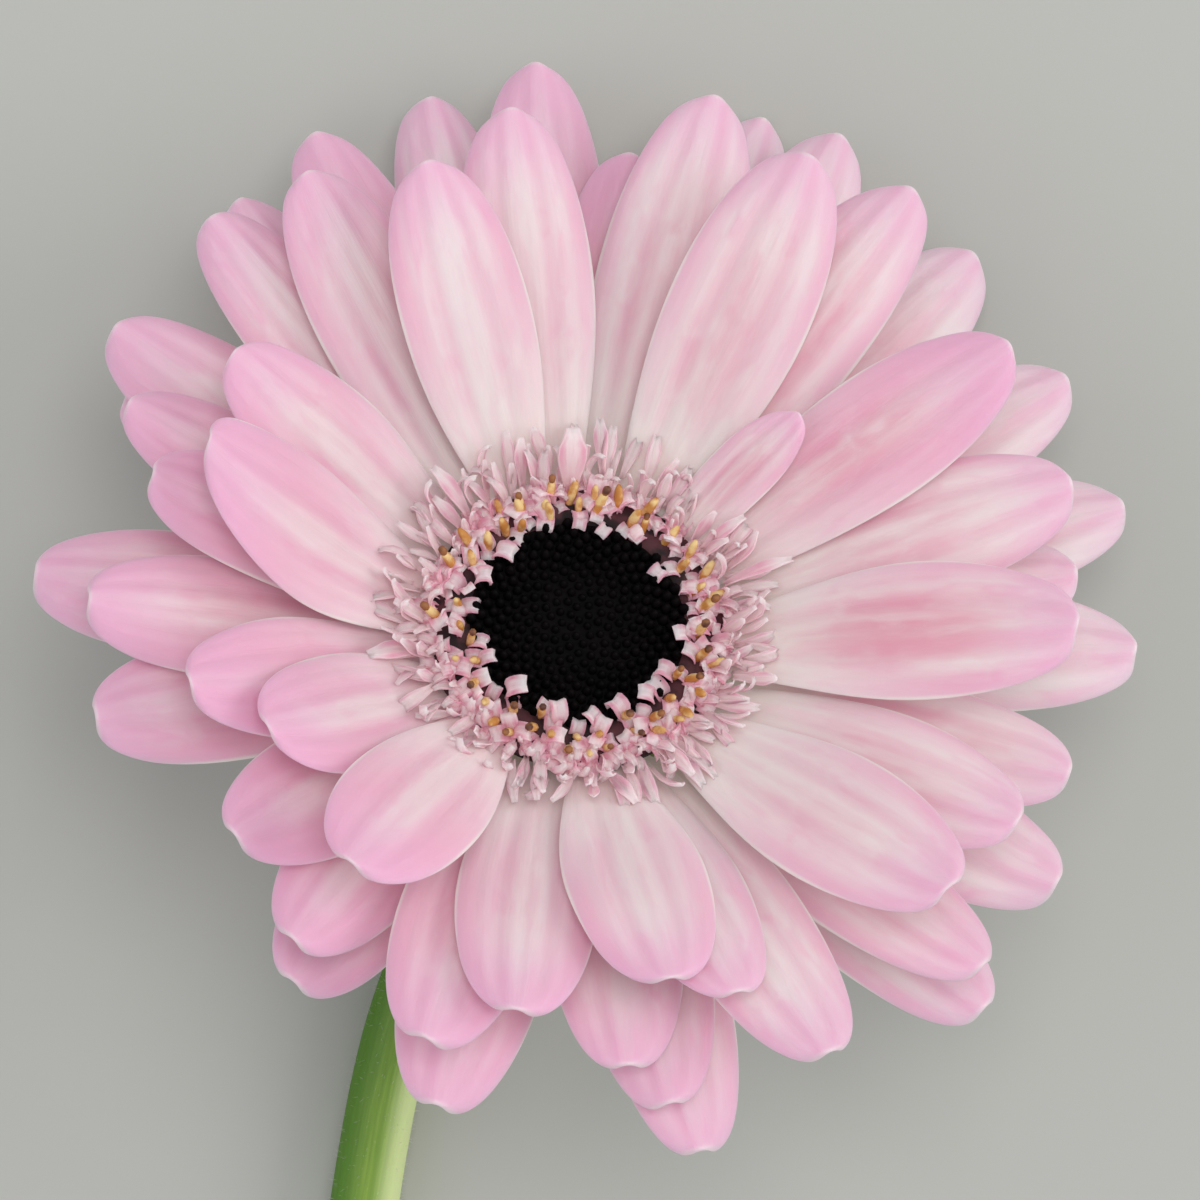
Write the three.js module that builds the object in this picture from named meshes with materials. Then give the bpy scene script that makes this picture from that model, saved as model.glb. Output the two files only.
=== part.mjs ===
// A cut gerbera lying on a table: one stem, a green involucre of bracts, about fifty
// ray florets in overlapping rows, a fringe of short trans florets and a dark disc.
// Millimetres, +Z up. The stem lies along Y with the head at the +Y end, and the part
// stands on Z = 0 with its origin under the middle of its bounding box.
//
// The head is built in its own frame: +Z is the flower's axis, Z = 0 is the top of the
// stem, and azimuths run anticlockwise seen from the front, with 90 degrees at the side
// away from the stem. Radii are measured from the flower's axis.

import * as THREE from "three";

const { degToRad } = THREE.MathUtils;

// ---- driving dimensions ----

const CLEARANCE = 0.3; // between neighbouring pieces

const HEAD_LEAN = 30; // degrees from upright, away from the stem

const STEM_LENGTH = 165; // the run on the table, from the cut to where the neck starts
const STEM_DIAMETER = 7.0;
const STEM_CUT_DIAMETER = 7.6;
const STEM_TOP_DIAMETER = 8.2; // it swells just under the head
const NECK_REACH = 40; // from where the stem leaves the table to under the head
const NECK_OFFSET = -4.7; // how far beside the head the stem leaves the table
const STEM_BOW = 12; // degrees between the cut end and the neck, seen from above
const STEM_BEND = 0.35; // how stiffly the cut end keeps its heading, of the run
const STEM_NECK_BEND = 0.16; // and the neck's end of the run
const NECK_RISE = 0.5; // how late the neck starts to rise, of its reach
const NECK_SQUARE = 0.33; // how long it runs square to the head, of its reach
const STEM_SLIM = 0.8; // of the length, where it is down to its diameter
const STEM_SWELL = 0.93; // of the length, where it starts to swell to the head

const RECEPTACLE_RADIUS = 12.2;
const RECEPTACLE_HEIGHT = 12.2;
const RECEPTACLE_FOOT_HEIGHT = 4.6; // the cone below the lowest ray florets
const RECEPTACLE_RIM = 1.2; // the rounding at its upper edge
const RECEPTACLE_SHOULDER = 1.3; // and between the cone and the side
const RECEPTACLE_INSET = 0.4; // how far its foot stays inside the stem's edge

const BRACT_THICKNESS = 0.8;
const BRACTS_PER_ROW = 17;
const OUTER_BRACT_LENGTH = 6.5;
const INNER_BRACT_LENGTH = 10.0;
const BRACT_START = 0.6; // from the foot of the receptacle's cone
const BRACT_TIP_DEPTH = 0.45; // of the length, free of its neighbours
const BRACT_TIP_NOTCH = 0.8; // of that, cut away between two tips
const BRACT_TIP_TAPER = 0.7; // of the thickness

const RAY_THICKNESS = 0.6;
const RAY_BASE_WIDTH = 4.2;
const RAY_FOOT_HEIGHT = 5.2; // where the lowest row leaves the receptacle
const RAY_STEP = 1.08; // from one layer to the next, at their feet
const RAY_LOWEST_SLOPE = 4; // degrees
const RAY_SLOPE_STEP = 4.4; // degrees more for each layer above
const RAY_ARCH_SLOPE = 0.15; // every ray floret rises by this at its foot
const RAY_ARCH_CURVE = 0.0034; // and bends back by this, per millimetre
const RAY_WIDEST = 0.58; // of its length from the foot
const RAY_OPENING = 1.05; // below 1 it widens early, above 1 late
const RAY_POINT = 0.52; // 0.5 for an elliptical tip, and more for a sharper one
const RAY_TIP_WIDTH = 0.2; // of the full width, at the very tip
const RAY_CROWN = 0.5; // of the free height to the next layer, from midline to edge

const DISC_HEIGHT = 2.6;
const DISC_EDGE = 1.0; // the bevel round the top
const DISC_DIP = 0.6; // in the middle
const FLORET_RING_WIDTH = 1.9; // round the outside of the disc
const FLORET_RING_HEIGHT = 4.0;
const FLORET_RING_DROP = 0.6; // from its inner edge to its outer edge
const FLORET_RING_SLANT = 0.2; // how far its inner edge leans outwards
const FLORET_NOTCH = 1.2;
const FLORETS = 30;

const TRANS_INNER_HEIGHT = 1.3; // its thickness at the inner edge
const TRANS_EDGE_HEIGHT = 0.7; // and at the outer edge
const TRANS_RADIUS = 18.6;
const TRANS_SLOPE = 30; // degrees
const TRANS_FRILLS = 34;
const TRANS_FRILL_DEPTH = 2.0;
const TRANS_FRILL_DROP = 0.5; // of the slope, where the edge is drawn in

// The ray florets, layer by layer from the back of the flower to the front, each as
// [azimuth in degrees, reach in millimetres from the axis, width in millimetres], and for
// one that bends sideways, how far its tip swings anticlockwise in millimetres.
const RAY_LAYERS = [
  [[35, 58, 13], [64, 61, 13.5], [89, 62, 12], [121, 61, 12], [143, 57, 11.5], [166, 50, 12],
    [191, 52, 13], [249, 44, 13], [301, 52, 13], [334, 53, 13]],
  [[18, 55, 13.5], [47, 57, 13], [80, 61, 13], [111, 61, 13], [133, 58, 12], [164, 54, 13],
    [209, 47, 13], [271, 50, 13.5], [299, 48, 12.5], [349, 52, 13]],
  [[25, 49, 12], [100, 50, 12], [149, 54, 11.5], [173, 48, 11], [198, 47, 12.5], [246, 43, 13],
    [294, 45, 13], [333, 51, 12.5], [0, 49, 12]],
  [[94, 55, 13.5], [140, 51, 13.5], [181, 43, 11.5], [235, 41, 13], [268, 47, 13.5], [312, 50, 13]],
  [[33, 48, 13], [72, 53, 13], [116, 50, 13], [163, 41, 12], [213, 39, 12.5], [276, 43, 13.5],
    [304, 42, 12.5], [348, 46, 13]],
  [[14, 46, 14], [49, 47, 13], [80, 49, 14], [129, 45, 13], [188, 38, 13, -8], [225, 34, 13],
    [296, 40, 13.5], [334, 45, 14]],
  [[62, 28, 6.5], [250, 38, 13.5]],
];

// ---- colours ----

const skins = {
  stem: { color: 0x83a046, roughness: 0.6 },
  bract: { color: 0x5f8038, roughness: 0.7 },
  receptacle: { color: 0x9caf62, roughness: 0.7 },
  ray: { color: 0xeab4c6, roughness: 0.55 },
  trans: { color: 0xe8c6cc, roughness: 0.6 },
  floret: { color: 0xc9818f, roughness: 0.6 },
  disc: { color: 0x171113, roughness: 0.7 },
};

function skin(name) {
  return new THREE.MeshStandardMaterial({ metalness: 0, ...skins[name] });
}

function addPiece(parent, name, geometry, skinName) {
  const mesh = new THREE.Mesh(geometry, skin(skinName));
  mesh.name = name;
  parent.add(mesh);
  return mesh;
}

// ---- geometry helpers ----

// Moves every vertex of a geometry to where place(vertex) says.
function bend(geometry, place) {
  const position = geometry.attributes.position;
  const vertex = new THREE.Vector3();
  for (let i = 0; i < position.count; i += 1) {
    place(vertex.fromBufferAttribute(position, i));
    position.setXYZ(i, vertex.x, vertex.y, vertex.z);
  }
  geometry.computeVertexNormals();
  return geometry;
}

// A solid of revolution about +Z, from [radius, height] pairs.
function turned(profile, segments) {
  const points = profile.map(([radius, height]) => new THREE.Vector2(radius, height));
  return new THREE.LatheGeometry(points, segments).rotateX(Math.PI / 2);
}

// 0 in the valleys and 1 at the peaks of a zigzag that goes round the axis count times.
function zigzag(x, y, count) {
  const turn = (Math.atan2(y, x) / (2 * Math.PI) + 1) * count;
  return 1 - Math.abs((turn % 1) * 2 - 1);
}

// ---- ray florets ----

const raySlope = (layer) => Math.tan(degToRad(RAY_LOWEST_SLOPE + layer * RAY_SLOPE_STEP));
const rayFootRadius = RECEPTACLE_RADIUS + CLEARANCE;

// The height of a layer's underside above the top of the stem, at a radius.
function layerHeight(layer, radius) {
  const out = radius - rayFootRadius;
  const arch = RAY_ARCH_SLOPE * out - RAY_ARCH_CURVE * out * out;
  return RAY_FOOT_HEIGHT + layer * RAY_STEP + raySlope(layer) * out + arch;
}

// The empty height above a layer's ray floret at a radius, up to the next layer.
function freeHeight(layer, radius) {
  const step = layerHeight(layer + 1, radius) - layerHeight(layer, radius);
  return Math.max(step - RAY_THICKNESS - CLEARANCE, 0);
}

// Half the width of a ray floret at a share of its length: a narrow claw that widens
// to the blade, and a rounded tip.
function rayHalfWidth(share, width) {
  if (share < RAY_WIDEST) {
    const opening = Math.sin((share / RAY_WIDEST) * (Math.PI / 2)) ** RAY_OPENING;
    return THREE.MathUtils.lerp(RAY_BASE_WIDTH, width, opening) / 2;
  }
  const tip = (share - RAY_WIDEST) / (1 - RAY_WIDEST);
  const round = Math.max(1 - tip * tip, 0) ** RAY_POINT;
  return (width * THREE.MathUtils.lerp(RAY_TIP_WIDTH, 1, round)) / 2;
}

// One ray floret, pointing along +X from the axis: a thin blade crowned from edge to
// edge, lying on its layer's cone.
function rayFloret(layer, reach, width, swing) {
  const across = 4;
  const along = 8;
  const blade = new THREE.BoxGeometry(1, 1, 1, along, across, 1);
  return bend(blade, (p) => {
    const share = Math.sin((p.x + 0.5) * (Math.PI / 2)); // closer stations near the tip
    const side = p.y * 2;
    const top = p.z > 0;
    p.x = rayFootRadius + share * (reach - rayFootRadius);
    p.y = side * rayHalfWidth(share, width) + swing * share * share;
    const radius = Math.hypot(p.x, p.y);
    const droop = RAY_CROWN * freeHeight(layer, radius) * side * side;
    p.z = layerHeight(layer, radius) - droop + (top ? RAY_THICKNESS : 0);
  });
}

function addRays(head) {
  RAY_LAYERS.forEach((florets, layer) => {
    florets.forEach(([azimuth, reach, width, swing = 0], i) => {
      const name = `ray_${layer + 1}_${String(i + 1).padStart(2, "0")}`;
      const ray = addPiece(head, name, rayFloret(layer, reach, width, swing), "ray");
      ray.rotation.z = degToRad(azimuth);
    });
  });
}

// ---- receptacle and involucre ----

const stemTopRadius = STEM_TOP_DIAMETER / 2;
const coneFootRadius = stemTopRadius - RECEPTACLE_INSET;
const coneTopRadius = RECEPTACLE_RADIUS - RECEPTACLE_SHOULDER;
const coneHeight = RECEPTACLE_FOOT_HEIGHT - RECEPTACLE_SHOULDER;

function receptacle() {
  return turned([
    [0, 0], [coneFootRadius, 0], [coneTopRadius, coneHeight],
    [RECEPTACLE_RADIUS, RECEPTACLE_FOOT_HEIGHT], [RECEPTACLE_RADIUS, RECEPTACLE_HEIGHT - RECEPTACLE_RIM],
    [RECEPTACLE_RADIUS - RECEPTACLE_RIM, RECEPTACLE_HEIGHT], [0, RECEPTACLE_HEIGHT],
  ], 28);
}

// One row of bracts, joined at their feet into a cup that follows the receptacle's
// cone. clear is how far the cup stands off the cone, and length how far it runs.
function bractRow(clear, length) {
  const slope = Math.atan2(coneHeight, coneTopRadius - coneFootRadius);
  const along = new THREE.Vector2(Math.cos(slope), Math.sin(slope));
  const off = new THREE.Vector2(Math.sin(slope), -Math.cos(slope));
  const at = (distance, depth) => [
    coneFootRadius + along.x * distance + off.x * (clear + depth),
    along.y * distance + off.y * (clear + depth),
  ];
  const valley = length * (1 - BRACT_TIP_DEPTH);
  const cup = turned([
    at(BRACT_START, 0), at(BRACT_START, BRACT_THICKNESS), at(valley, BRACT_THICKNESS),
    at(length, BRACT_THICKNESS * BRACT_TIP_TAPER), at(length, 0), at(valley, 0), at(BRACT_START, 0),
  ], BRACTS_PER_ROW * 4);
  const tipRadius = at(valley, BRACT_THICKNESS)[0];
  return bend(cup, (p) => {
    const radius = Math.hypot(p.x, p.y);
    if (radius <= tipRadius + 1e-6) return;
    const back = 1 - zigzag(p.x, p.y, BRACTS_PER_ROW);
    const pull = (radius - tipRadius) * BRACT_TIP_NOTCH * back;
    p.z -= (pull / along.x) * along.y;
    p.x *= (radius - pull) / radius;
    p.y *= (radius - pull) / radius;
  });
}

// ---- disc and fringe ----

const discFloor = RECEPTACLE_HEIGHT + CLEARANCE;
const ringOuter = RECEPTACLE_RADIUS;
const ringInner = ringOuter - FLORET_RING_WIDTH;
const discRadius = ringInner - CLEARANCE;

function discBuds() {
  const top = discFloor + DISC_HEIGHT;
  return turned([
    [0, discFloor], [discRadius, discFloor], [discRadius, top - DISC_EDGE], [discRadius - DISC_EDGE, top],
    [discRadius / 2, top - DISC_DIP / 3], [0, top - DISC_DIP],
  ], 28);
}

// The ring of open disc florets, a crown with a notch between one floret and the next.
function discFlorets() {
  const top = discFloor + FLORET_RING_HEIGHT;
  const crown = turned([
    [ringInner, discFloor], [ringOuter, discFloor], [ringOuter, top - FLORET_RING_DROP],
    [ringInner + FLORET_RING_SLANT, top], [ringInner, discFloor],
  ], FLORETS * 2);
  return bend(crown, (p) => {
    if (p.z > discFloor + 1e-6) p.z -= FLORET_NOTCH * (1 - zigzag(p.x, p.y, FLORETS));
  });
}

// The trans florets, a frilled collar that rises outwards over the feet of the rays.
function transFlorets() {
  const inner = ringOuter + CLEARANCE;
  const slope = Math.tan(degToRad(TRANS_SLOPE));
  const topLayer = RAY_LAYERS.length;
  const floorAt = (radius) => Math.max(
    layerHeight(topLayer, radius), discFloor + (radius - inner) * slope,
  ) + CLEARANCE;
  const collar = turned([
    [inner, floorAt(inner)], [TRANS_RADIUS, floorAt(TRANS_RADIUS)],
    [TRANS_RADIUS, floorAt(TRANS_RADIUS) + TRANS_EDGE_HEIGHT], [inner, floorAt(inner) + TRANS_INNER_HEIGHT],
    [inner, floorAt(inner)],
  ], TRANS_FRILLS * 2);
  return bend(collar, (p) => {
    const radius = Math.hypot(p.x, p.y);
    const edge = (radius - inner) / (TRANS_RADIUS - inner);
    const pull = edge * TRANS_FRILL_DEPTH * (1 - zigzag(p.x, p.y, TRANS_FRILLS));
    p.x *= (radius - pull) / radius;
    p.y *= (radius - pull) / radius;
    p.z -= pull * slope * TRANS_FRILL_DROP;
  });
}

// ---- stem ----

// The stem's centreline: a run on the table that bows gently, and a neck that bends up
// to meet the head square on. headFoot is the receptacle's lowest point.
function stemPath(headFoot, headAxis) {
  const lift = STEM_DIAMETER / 2;
  const cutLift = STEM_CUT_DIAMETER / 2;
  const leave = new THREE.Vector3(headFoot.x + NECK_OFFSET, headFoot.y - NECK_REACH, lift);
  const bow = degToRad(STEM_BOW);
  const heading = new THREE.Vector3(Math.sin(bow), -Math.cos(bow), 0);
  const cut = leave.clone().addScaledVector(heading, STEM_LENGTH).setZ(cutLift);
  const run = new THREE.CubicBezierCurve3(
    cut,
    cut.clone().addScaledVector(heading, -STEM_LENGTH * STEM_BEND),
    leave.clone().add(new THREE.Vector3(0, -STEM_LENGTH * STEM_NECK_BEND, 0)),
    leave,
  );
  const top = headFoot.clone().addScaledVector(headAxis, -CLEARANCE);
  const neck = new THREE.CubicBezierCurve3(
    leave,
    leave.clone().add(new THREE.Vector3(0, NECK_REACH * NECK_RISE, 0)),
    top.clone().addScaledVector(headAxis, -NECK_REACH * NECK_SQUARE),
    top,
  );
  const path = new THREE.CurvePath();
  path.add(run);
  path.add(neck);
  return path;
}

function stemRadius(share) {
  const middle = STEM_DIAMETER / 2;
  const slim = THREE.MathUtils.lerp(STEM_CUT_DIAMETER / 2, middle, Math.min(share / STEM_SLIM, 1));
  const swell = THREE.MathUtils.smoothstep(share, STEM_SWELL, 1);
  return slim + (stemTopRadius - middle) * swell;
}

function stem(path) {
  const steps = 34;
  const frames = path.computeFrenetFrames(steps, false);
  const rod = new THREE.CylinderGeometry(1, 1, 1, 12, steps);
  return bend(rod, (p) => {
    const step = Math.round((p.y + 0.5) * steps);
    const share = step / steps;
    const centre = path.getPointAt(share);
    const radius = stemRadius(share);
    const { x, z } = p;
    p.copy(centre)
      .addScaledVector(frames.normals[step], z * radius)
      .addScaledVector(frames.binormals[step], x * radius);
  });
}

// ---- assembly ----

const group = new THREE.Group();
const head = new THREE.Group();
group.add(head);

addPiece(head, "receptacle", receptacle(), "receptacle");
addPiece(head, "bracts_inner", bractRow(CLEARANCE, INNER_BRACT_LENGTH), "bract");
addPiece(head, "bracts_outer", bractRow(CLEARANCE * 2 + BRACT_THICKNESS, OUTER_BRACT_LENGTH), "bract");
addRays(head);
addPiece(head, "trans_florets", transFlorets(), "trans");
addPiece(head, "disc_florets", discFlorets(), "floret");
addPiece(head, "disc_buds", discBuds(), "disc");

// The head leans until its lowest ray florets touch the table, and the stem bends to it.
head.rotation.x = -degToRad(HEAD_LEAN);
head.updateMatrixWorld(true);
head.position.z = -new THREE.Box3().setFromObject(head, true).min.z;
const headAxis = new THREE.Vector3(0, 0, 1).applyEuler(head.rotation);
addPiece(group, "stem", stem(stemPath(head.position, headAxis)), "stem");

// The origin goes under the middle of the whole part.
group.updateMatrixWorld(true);
const box = new THREE.Box3().setFromObject(group, true);
const middle = box.getCenter(new THREE.Vector3());
const whole = new THREE.Group();
whole.add(group);
group.position.set(-middle.x, -middle.y, -box.min.z);
whole.updateMatrixWorld(true);

export default whole;
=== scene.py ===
import math
import random

import bmesh
import bpy
from mathutils import Matrix, Vector, noise


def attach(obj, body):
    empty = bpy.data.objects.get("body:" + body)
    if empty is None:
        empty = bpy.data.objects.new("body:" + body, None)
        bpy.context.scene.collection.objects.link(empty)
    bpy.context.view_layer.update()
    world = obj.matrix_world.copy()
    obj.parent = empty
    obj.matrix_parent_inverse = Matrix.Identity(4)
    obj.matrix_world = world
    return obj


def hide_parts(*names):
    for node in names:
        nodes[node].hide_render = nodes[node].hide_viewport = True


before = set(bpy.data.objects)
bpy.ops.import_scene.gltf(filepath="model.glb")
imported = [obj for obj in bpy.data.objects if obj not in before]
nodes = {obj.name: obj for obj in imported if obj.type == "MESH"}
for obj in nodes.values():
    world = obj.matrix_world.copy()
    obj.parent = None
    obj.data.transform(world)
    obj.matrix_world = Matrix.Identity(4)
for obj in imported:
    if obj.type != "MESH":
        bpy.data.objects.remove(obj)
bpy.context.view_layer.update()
scene = bpy.context.scene
bpy.ops.object.select_all(action="DESELECT")
MM = 0.001


# ---- The flower's own frame ----
# Every floret stands on the receptacle round one axis. The axis runs from the middle of
# the receptacle to the middle of the disc, and "forward" is the side away from the stem,
# where the head leans down to the table.


def merged_copy(node):
    """A CAD node's mesh as a bmesh whose loose triangles share their corners."""
    bm = bmesh.new()
    bm.from_mesh(nodes[node].data)
    bmesh.ops.remove_doubles(bm, verts=bm.verts, dist=2e-6)
    return bm


def middle_of(node):
    bm = merged_copy(node)
    middle = sum((v.co for v in bm.verts), Vector()) / len(bm.verts)
    bm.free()
    return middle


HEAD_MIDDLE = middle_of("receptacle")
AXIS = (middle_of("disc_buds") - HEAD_MIDDLE).normalized()
FORWARD = (Vector((0, 1, 0)) - AXIS * AXIS.y).normalized()
LEFT = AXIS.cross(FORWARD)


def height_of(point):
    """How far along the flower's axis a point lies, above the receptacle's middle."""
    return (point - HEAD_MIDDLE).dot(AXIS)


def on_head(radius, azimuth, height):
    """The point at a radius, azimuth (radians, 0 is forward) and height on the head."""
    spoke = FORWARD * math.cos(azimuth) + LEFT * math.sin(azimuth)
    return HEAD_MIDDLE + spoke * radius + AXIS * height


def height_range(node):
    heights = [height_of(v.co) for v in nodes[node].data.vertices]
    return min(heights), max(heights)


DISC_FLOOR, DISC_TOP = height_range("disc_buds")
DISC_CENTRE = on_head(0, 0, DISC_TOP)


# ---- Floor, light and camera ----
# A pale table, large soft lights from the left, the front and most of all the right, so
# that no gap goes dark, and a long lens that looks down on the face of the flower.

bpy.ops.mesh.primitive_plane_add(size=6, location=(0, 0, 0))
floor = bpy.context.object
floor.name = "floor"
bpy.ops.object.select_all(action="DESELECT")


def srgb(red, green, blue):
    """A shader colour from a painter's 0 to 255 values."""
    linear = [((c / 255 + 0.055) / 1.055) ** 2.4 if c > 10 else c / 255 / 12.92 for c in (red, green, blue)]
    return (*linear, 1.0)


def new_material(name, roughness):
    made = bpy.data.materials.new(name)
    made.use_nodes = True
    shader = made.node_tree.nodes["Principled BSDF"]
    shader.inputs["Roughness"].default_value = roughness
    return made, made.node_tree, shader


floor_material, _, floor_shader = new_material("pale table", 0.9)
floor_shader.inputs["Base Color"].default_value = srgb(186, 187, 181)
floor_shader.inputs["Specular IOR Level"].default_value = 0.1
floor.data.materials.append(floor_material)

FACE_TILT = math.radians(24)  # between the line of sight and the flower's axis
CAMERA_TURN = math.radians(18)
CAMERA_DISTANCE = 0.60
VIEW_WIDTH = 0.1145  # what the picture takes in at the disc
AIM_RIGHT, AIM_UP = 0.0020, 0.0019

sight = AXIS * math.cos(FACE_TILT) - FORWARD * math.sin(FACE_TILT)
lean = AXIS * math.sin(FACE_TILT) + FORWARD * math.cos(FACE_TILT)
camera_up = lean * math.cos(CAMERA_TURN) + sight.cross(lean) * math.sin(CAMERA_TURN)
camera_right = camera_up.cross(sight)

bpy.ops.object.camera_add()
camera = bpy.context.object
camera.data.sensor_width = 36
camera.data.lens = 36 * CAMERA_DISTANCE / VIEW_WIDTH
camera.data.clip_start = 0.01
turn = Matrix((camera_right, camera_up, sight)).transposed().to_4x4()
aim = DISC_CENTRE + camera_right * AIM_RIGHT + camera_up * AIM_UP
camera.matrix_world = Matrix.Translation(aim + sight * CAMERA_DISTANCE) @ turn
scene.camera = camera


def area_light(name, direction, distance, size, watts, tint):
    """A square soft light that shines on the flower from a direction."""
    bpy.ops.object.light_add(type="AREA")
    light = bpy.context.object
    light.name = name
    light.data.size = size
    light.data.energy = watts
    light.data.color = tint
    away = direction.normalized()
    light.matrix_world = (
        Matrix.Translation(DISC_CENTRE + away * distance)
        @ away.to_track_quat("Z", "Y").to_matrix().to_4x4()
    )


WARM_WHITE = (1.0, 0.99, 0.97)
area_light("left", -camera_right - camera_up * 0.1 + sight * 0.9, 1.3, 1.0, 2.2, WARM_WHITE)
area_light("front", camera_right * 0.1 + camera_up * 0.2 + sight, 1.2, 0.5, 4.6, WARM_WHITE)
area_light("right", camera_right + camera_up * 0.1 + sight * 0.55, 1.3, 0.8, 6.4, (1.0, 1.0, 0.97))

world = bpy.data.worlds.new("studio")
scene.world = world
world.use_nodes = True
world.node_tree.nodes["Background"].inputs["Color"].default_value = (0.93, 0.95, 1.0, 1)
world.node_tree.nodes["Background"].inputs["Strength"].default_value = 0.55
scene.view_settings.view_transform = "Standard"


# ---- Ray florets ----
# The large outer straps. Each is one thin blade grown from the rim of the receptacle,
# with a narrow claw, two long furrows, and a rounded tip where three lobes are fused.


def plug(tree, value, socket):
    if isinstance(value, bpy.types.NodeSocket):
        tree.links.new(value, socket)
    else:
        socket.default_value = value


def sum_node(tree, operation, *values, clamp=False):
    node = tree.nodes.new("ShaderNodeMath")
    node.operation = operation
    node.use_clamp = clamp
    for value, socket in zip(values, node.inputs):
        plug(tree, value, socket)
    return node.outputs[0]


def ramp_between(tree, value, low, high):
    """0 below low and 1 above high, with a soft step between."""
    node = tree.nodes.new("ShaderNodeMapRange")
    node.interpolation_type = "SMOOTHSTEP"
    plug(tree, value, node.inputs["Value"])
    node.inputs["From Min"].default_value = low
    node.inputs["From Max"].default_value = high
    return node.outputs[0]


def blend_colours(tree, share, first, second):
    node = tree.nodes.new("ShaderNodeMix")
    node.data_type = "RGBA"
    plug(tree, share, node.inputs[0])
    plug(tree, first, node.inputs[6])
    plug(tree, second, node.inputs[7])
    return node.outputs[2]


def noise_node(tree, vector, scale, detail=2.0, roughness=0.5):
    node = tree.nodes.new("ShaderNodeTexNoise")
    plug(tree, vector, node.inputs["Vector"])
    node.inputs["Scale"].default_value = scale
    node.inputs["Detail"].default_value = detail
    node.inputs["Roughness"].default_value = roughness
    return node.outputs[0]


def bump_node(tree, height, strength, distance):
    node = tree.nodes.new("ShaderNodeBump")
    node.inputs["Strength"].default_value = strength
    node.inputs["Distance"].default_value = distance
    plug(tree, height, node.inputs["Height"])
    return node.outputs[0]


def input_node(tree, kind, output, **settings):
    node = tree.nodes.new(kind)
    for key, value in settings.items():
        setattr(node, key, value)
    return node.outputs[output]


def new_group(name, inputs, outputs):
    """A shader node group with named inputs and outputs, and its two end nodes."""
    group = bpy.data.node_groups.new(name, "ShaderNodeTree")
    for kind, names in (("INPUT", inputs), ("OUTPUT", outputs)):
        for label, socket in names:
            group.interface.new_socket(label, in_out=kind, socket_type=socket)
    start = group.nodes.new("NodeGroupInput")
    end = group.nodes.new("NodeGroupOutput")
    return group, start, end


def use_group(tree, group, **values):
    node = tree.nodes.new("ShaderNodeGroup")
    node.node_tree = group
    for label, value in values.items():
        plug(tree, value, node.inputs[label.replace("_", " ")])
    return node


# Every floret's strap is the same living tissue: cream at its foot, pale pink along the
# blade, and mauve pink at the margins and tip, with fine veins along its length. The map
# gives the place on a strap: U from margin to margin, V from foot to tip.

FLOAT, COLOUR = "NodeSocketFloat", "NodeSocketColor"
tissue, start, end = new_group(
    "petal tissue",
    [("Foot", COLOUR), ("Blade", COLOUR), ("Margin", COLOUR), ("Tip", COLOUR), ("Blush", COLOUR),
     ("Deep", FLOAT), ("Heart", FLOAT), ("Furrows", FLOAT), ("Foot length", FLOAT)],
    [("Colour", COLOUR), ("Height", FLOAT)],
)
place = tissue.nodes.new("ShaderNodeUVMap")
place.uv_map = "strap"
split = tissue.nodes.new("ShaderNodeSeparateXYZ")
tissue.links.new(place.outputs[0], split.inputs[0])
across, along = split.outputs[0], split.outputs[1]
side = sum_node(tissue, "ABSOLUTE", sum_node(tissue, "MULTIPLY_ADD", across, 2.0, -1.0))

object_place = input_node(tissue, "ShaderNodeTexCoord", "Object")
mottle = noise_node(tissue, object_place, 260, 3)
wander = noise_node(tissue, object_place, 90, 2)

stretch = tissue.nodes.new("ShaderNodeCombineXYZ")
tissue.links.new(sum_node(tissue, "MULTIPLY", across, 7.0), stretch.inputs[0])
tissue.links.new(sum_node(tissue, "MULTIPLY", along, 1.5), stretch.inputs[1])
tissue.links.new(sum_node(tissue, "MULTIPLY", wander, 5.0), stretch.inputs[2])
veins = noise_node(tissue, stretch.outputs[0], 1.3, 3, 0.42)
fine_stretch = tissue.nodes.new("ShaderNodeCombineXYZ")
tissue.links.new(sum_node(tissue, "MULTIPLY", across, 30.0), fine_stretch.inputs[0])
tissue.links.new(sum_node(tissue, "MULTIPLY", along, 4.0), fine_stretch.inputs[1])
tissue.links.new(sum_node(tissue, "MULTIPLY", wander, 5.0), fine_stretch.inputs[2])
fine_veins = noise_node(tissue, fine_stretch.outputs[0], 1.0, 3, 0.6)

furrow_line = sum_node(tissue, "ABSOLUTE", sum_node(tissue, "SUBTRACT", side, 0.36))
furrow = sum_node(tissue, "SUBTRACT", 1.0, ramp_between(tissue, furrow_line, 0.0, 0.22))
furrow = sum_node(tissue, "MULTIPLY", furrow, ramp_between(tissue, along, 0.12, 0.5))
furrow = sum_node(tissue, "MULTIPLY", furrow, start.outputs["Furrows"])

margin_reach = sum_node(tissue, "MULTIPLY_ADD", start.outputs["Deep"], 0.55, side)
margin = ramp_between(tissue, sum_node(tissue, "MULTIPLY_ADD", veins, 0.3, margin_reach), 0.62, 1.12)
margin = sum_node(tissue, "MULTIPLY", margin, ramp_between(tissue, along, 0.10, 0.75))
margin = sum_node(tissue, "MULTIPLY", margin, 0.8)
tip_reach = sum_node(tissue, "MULTIPLY_ADD", start.outputs["Deep"], 0.2, along)
tip = ramp_between(tissue, sum_node(tissue, "MULTIPLY_ADD", veins, 0.14, tip_reach), 0.78, 1.12)
tip = sum_node(tissue, "MULTIPLY", tip, 0.8)
heart_side = sum_node(tissue, "SUBTRACT", 1.0, ramp_between(tissue, side, 0.05, 0.95))
heart_length = sum_node(
    tissue, "MULTIPLY", ramp_between(tissue, along, 0.05, 0.5),
    sum_node(tissue, "SUBTRACT", 1.0, ramp_between(tissue, along, 0.55, 1.05)),
)
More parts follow.
